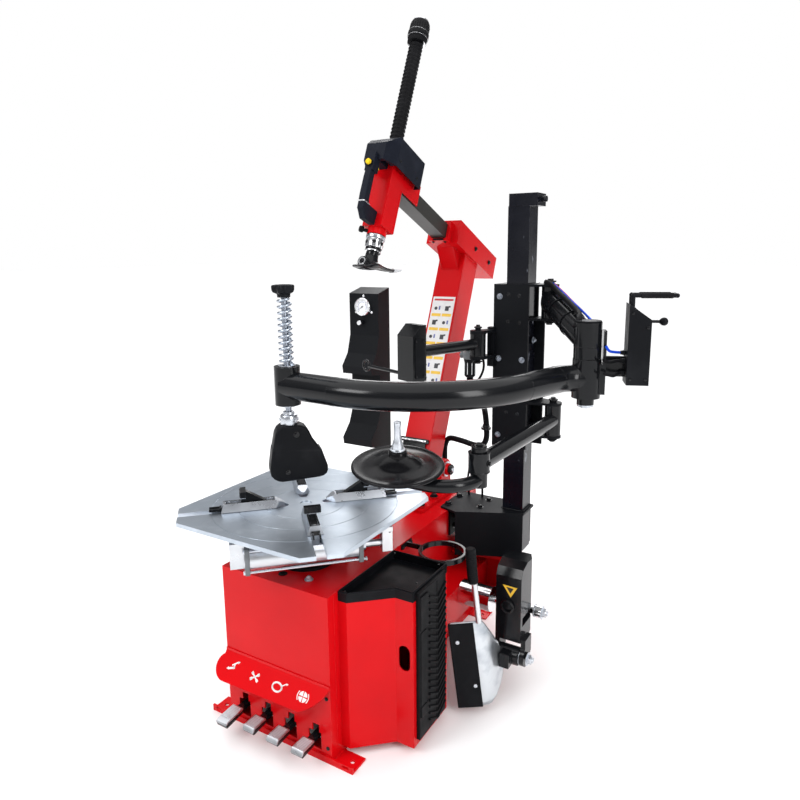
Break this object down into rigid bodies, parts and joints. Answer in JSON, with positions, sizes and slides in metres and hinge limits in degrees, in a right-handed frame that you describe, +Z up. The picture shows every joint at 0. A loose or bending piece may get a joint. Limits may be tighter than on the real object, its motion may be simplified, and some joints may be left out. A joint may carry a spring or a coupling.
{
  "type": "tire changer",
  "caption": "Tilt-back tire changer with turntable, sliding jaws, mount arm, side bead breaker and a helper post with press, disc and middle arms.",
  "frame": {"origin": "On the floor, at the centre of the rectangle of four floor anchor holes", "axes": "+Z up; +Y to the back of the machine, away from the pedals; +X to the side of the bead breaker and the helper post"},
  "size_m": [1.2678, 1.607, 2.2758],
  "materials": {
    "machine_red": "gloss powder coat",
    "frame_black": "gloss powder coat",
    "black_plastic": "fine texture",
    "black_rubber": "matt",
    "steel_plate": "ground",
    "zinc": "zinc plated",
    "chrome": "polished",
    "barrel_alloy": "drawn",
    "motor_grey": "painted",
    "pump_alloy": "cast",
    "yellow_cap": "gloss",
    "gauge_face": "glazed dial"
  },
  "bodies": {
    "base": {"cabinet_shell": "machine_red", "pedal_apron": "machine_red", "side_box": "machine_red", "tool_tray": "black_plastic", "bead_pad": "black_rubber", "lube_ring": "zinc", "gearbox": "motor_grey", "motor": "pump_alloy", "drive_belt": "black_rubber", "pedal_shaft": "zinc", "breaker_cylinder": "barrel_alloy", "hinge_bracket": "machine_red", "tilt_cylinder": "barrel_alloy", "gauge_box": "black_plastic", "pressure_gauge": "gauge_face", "helper_bracket": "frame_black", "post": "frame_black", "lift_cylinder": "barrel_alloy", "air_conduit": "black_rubber", "filter_regulator": "pump_alloy"},
    "gearbox_pulley": {"gearbox_pulley": "motor_grey"},
    "motor_pulley": {"motor_pulley": "motor_grey"},
    "pedal_1": {"pedal_1": "frame_black"},
    "pedal_2": {"pedal_2": "frame_black"},
    "pedal_3": {"pedal_3": "frame_black"},
    "pedal_4": {"pedal_4": "frame_black"},
    "turntable": {"turntable": "steel_plate"},
    "jaw_1": {"jaw_1": "zinc", "clamp_rods": "zinc"},
    "jaw_2": {"jaw_2": "zinc"},
    "jaw_3": {"jaw_3": "zinc", "clamp_barrels": "barrel_alloy"},
    "jaw_4": {"jaw_4": "zinc"},
    "tilt_rod": {"tilt_rod": "chrome"},
    "column": {"column": "machine_red", "arm_box": "machine_red"},
    "slide_arm": {"slide_arm": "frame_black", "head_body": "machine_red", "head_cover": "black_plastic", "bellows": "black_rubber"},
    "button_upper": {"button_upper": "yellow_cap"},
    "button_lower": {"button_lower": "yellow_cap"},
    "shaft": {"hex_shaft": "chrome", "mount_head": "zinc"},
    "breaker_arm": {"breaker_arm": "frame_black"},
    "breaker_blade": {"breaker_blade": "zinc", "blade_handle": "zinc"},
    "breaker_rod": {"breaker_rod": "chrome"},
    "carriage": {"carriage": "frame_black"},
    "upper_link": {"upper_link": "frame_black"},
    "curved_arm": {"curved_arm": "frame_black", "control_box": "black_plastic", "press_spring": "zinc"},
    "control_lever": {"control_lever": "frame_black"},
    "press": {"press_rod": "zinc", "press_block": "black_plastic"},
    "middle_arm": {"middle_arm": "frame_black"},
    "lower_link": {"lower_link": "frame_black"},
    "disc_arm": {"disc_arm": "frame_black"},
    "disc": {"disc": "black_plastic"}
  },
  "joints": [
    {"name": "pedal_1_press", "type": "hinge", "parent": "base", "child": "pedal_1", "pos_m": [-0.137, -0.31, 0.08], "axis": [1, 0, 0], "range_deg": [0, 7], "stiffness_Nm_per_rad": 20, "springref_deg": -14.32},
    {"name": "pedal_2_press", "type": "hinge", "parent": "base", "child": "pedal_2", "pos_m": [-0.045, -0.31, 0.08], "axis": [1, 0, 0], "range_deg": [0, 7], "stiffness_Nm_per_rad": 20, "springref_deg": -14.32},
    {"name": "pedal_3_press", "type": "hinge", "parent": "base", "child": "pedal_3", "pos_m": [0.047, -0.31, 0.08], "axis": [1, 0, 0], "range_deg": [0, 7], "stiffness_Nm_per_rad": 20, "springref_deg": -14.32},
    {"name": "pedal_4_press", "type": "hinge", "parent": "base", "child": "pedal_4", "pos_m": [0.139, -0.31, 0.08], "axis": [1, 0, 0], "range_deg": [0, 7], "stiffness_Nm_per_rad": 20, "springref_deg": -14.32},
    {"name": "turntable_spin", "type": "hinge", "parent": "base", "child": "turntable", "pos_m": [0, -0.324, 0.704], "axis": [0, 0, 1], "continuous": true},
    {"name": "gearbox_pulley_spin", "type": "hinge", "parent": "base", "child": "gearbox_pulley", "pos_m": [-0.13, -0.394, 0.38], "axis": [1, 0, 0], "continuous": true},
    {"name": "motor_pulley_spin", "type": "hinge", "parent": "base", "child": "motor_pulley", "pos_m": [-0.13, -0.09, 0.2], "axis": [1, 0, 0], "continuous": true},
    {"name": "jaw_1_slide", "type": "slide", "parent": "turntable", "child": "jaw_1", "axis": [0.7071, 0.7071, 0], "range_m": [-0.02, 0.1]},
    {"name": "jaw_2_slide", "type": "slide", "parent": "turntable", "child": "jaw_2", "axis": [-0.7071, 0.7071, 0], "range_m": [-0.02, 0.1]},
    {"name": "jaw_3_slide", "type": "slide", "parent": "turntable", "child": "jaw_3", "axis": [-0.7071, -0.7071, 0], "range_m": [-0.02, 0.1]},
    {"name": "jaw_4_slide", "type": "slide", "parent": "turntable", "child": "jaw_4", "axis": [0.7071, -0.7071, 0], "range_m": [-0.02, 0.1]},
    {"name": "column_tilt", "type": "hinge", "parent": "base", "child": "column", "pos_m": [0, 0.45, 0.6], "axis": [1, 0, 0], "range_deg": [0, 23]},
    {"name": "tilt_rod_slide", "type": "slide", "parent": "base", "child": "tilt_rod", "axis": [0, 1, 0], "range_m": [0, 0.0614]},
    {"name": "arm_slide", "type": "slide", "parent": "column", "child": "slide_arm", "axis": [0, -0.9205, 0.3907], "range_m": [-0.19, 0.03]},
    {"name": "shaft_slide", "type": "slide", "parent": "slide_arm", "child": "shaft", "axis": [0, 0.3907, 0.9205], "range_m": [-0.3, 0], "deforming": ["bellows"]},
    {"name": "button_upper_press", "type": "slide", "parent": "slide_arm", "child": "button_upper", "axis": [0, 0.9205, -0.3907], "range_m": [0, 0.004], "stiffness_N_per_m": 400, "springref_m": -0.004},
    {"name": "button_lower_press", "type": "slide", "parent": "slide_arm", "child": "button_lower", "axis": [0, -0.9205, 0.3907], "range_m": [0, 0.004], "stiffness_N_per_m": 400, "springref_m": -0.004},
    {"name": "breaker_swing", "type": "hinge", "parent": "base", "child": "breaker_arm", "pos_m": [0.44, 0.35, 0.265], "axis": [0, 0, 1], "range_deg": [0, 25]},
    {"name": "breaker_rod_slide", "type": "slide", "parent": "base", "child": "breaker_rod", "axis": [1, 0, 0], "range_m": [0, 0.105]},
    {"name": "blade_pivot", "type": "hinge", "parent": "breaker_arm", "child": "breaker_blade", "pos_m": [0.52, 0.07, 0.15], "axis": [1, 0, 0], "range_deg": [-8, 6]},
    {"name": "carriage_lift", "type": "slide", "parent": "base", "child": "carriage", "axis": [0, 0, 1], "range_m": [-0.03, 0.2]},
    {"name": "upper_link_swing", "type": "hinge", "parent": "carriage", "child": "upper_link", "pos_m": [0.518, 0.38, 1.283], "axis": [0, 0, 1], "range_deg": [-30, 0]},
    {"name": "curved_arm_swing", "type": "hinge", "parent": "upper_link", "child": "curved_arm", "pos_m": [0.725, 0.11, 1.085], "axis": [0, 0, 1], "range_deg": [0, 24]},
    {"name": "control_lever_tip", "type": "hinge", "parent": "curved_arm", "child": "control_lever", "pos_m": [0.86201, 0.20137, 1.25], "axis": [-0.342, 0.9397, 0], "range_deg": [-20, 20]},
    {"name": "press_slide", "type": "slide", "parent": "curved_arm", "child": "press", "axis": [0, 0, 1], "range_m": [-0.04, 0], "stiffness_N_per_m": 2500, "springref_m": 0.05, "deforming": ["press_spring"]},
    {"name": "middle_arm_swing", "type": "hinge", "parent": "carriage", "child": "middle_arm", "pos_m": [0.302, 0.27, 1.14], "axis": [0, 0, 1], "range_deg": [-15, 60]},
    {"name": "lower_link_swing", "type": "hinge", "parent": "carriage", "child": "lower_link", "pos_m": [0.541, 0.38, 0.873], "axis": [0, 0, 1], "range_deg": [0, 35]},
    {"name": "disc_arm_swing", "type": "hinge", "parent": "lower_link", "child": "disc_arm", "pos_m": [0.525, -0.209, 0.873], "axis": [0, 0, 1], "range_deg": [-30, 40]},
    {"name": "disc_spin", "type": "hinge", "parent": "disc_arm", "child": "disc", "pos_m": [0.329, -0.319, 0.873], "axis": [0.0727, -0.1187, 0.9903], "continuous": true}
  ],
  "couplings": [
    {"joint": "gearbox_pulley_spin", "follows": "turntable_spin", "ratio": 30},
    {"joint": "motor_pulley_spin", "follows": "turntable_spin", "ratio": 64.286},
    {"joint": "tilt_rod_slide", "follows": "column_tilt", "m_per_rad": 0.1523},
    {"joint": "breaker_rod_slide", "follows": "breaker_swing", "m_per_rad": 0.24},
    {"joint": "jaw_1_slide", "follows": "jaw_3_slide", "ratio": 1},
    {"joint": "jaw_2_slide", "follows": "jaw_3_slide", "ratio": 1},
    {"joint": "jaw_4_slide", "follows": "jaw_3_slide", "ratio": 1}
  ]
}
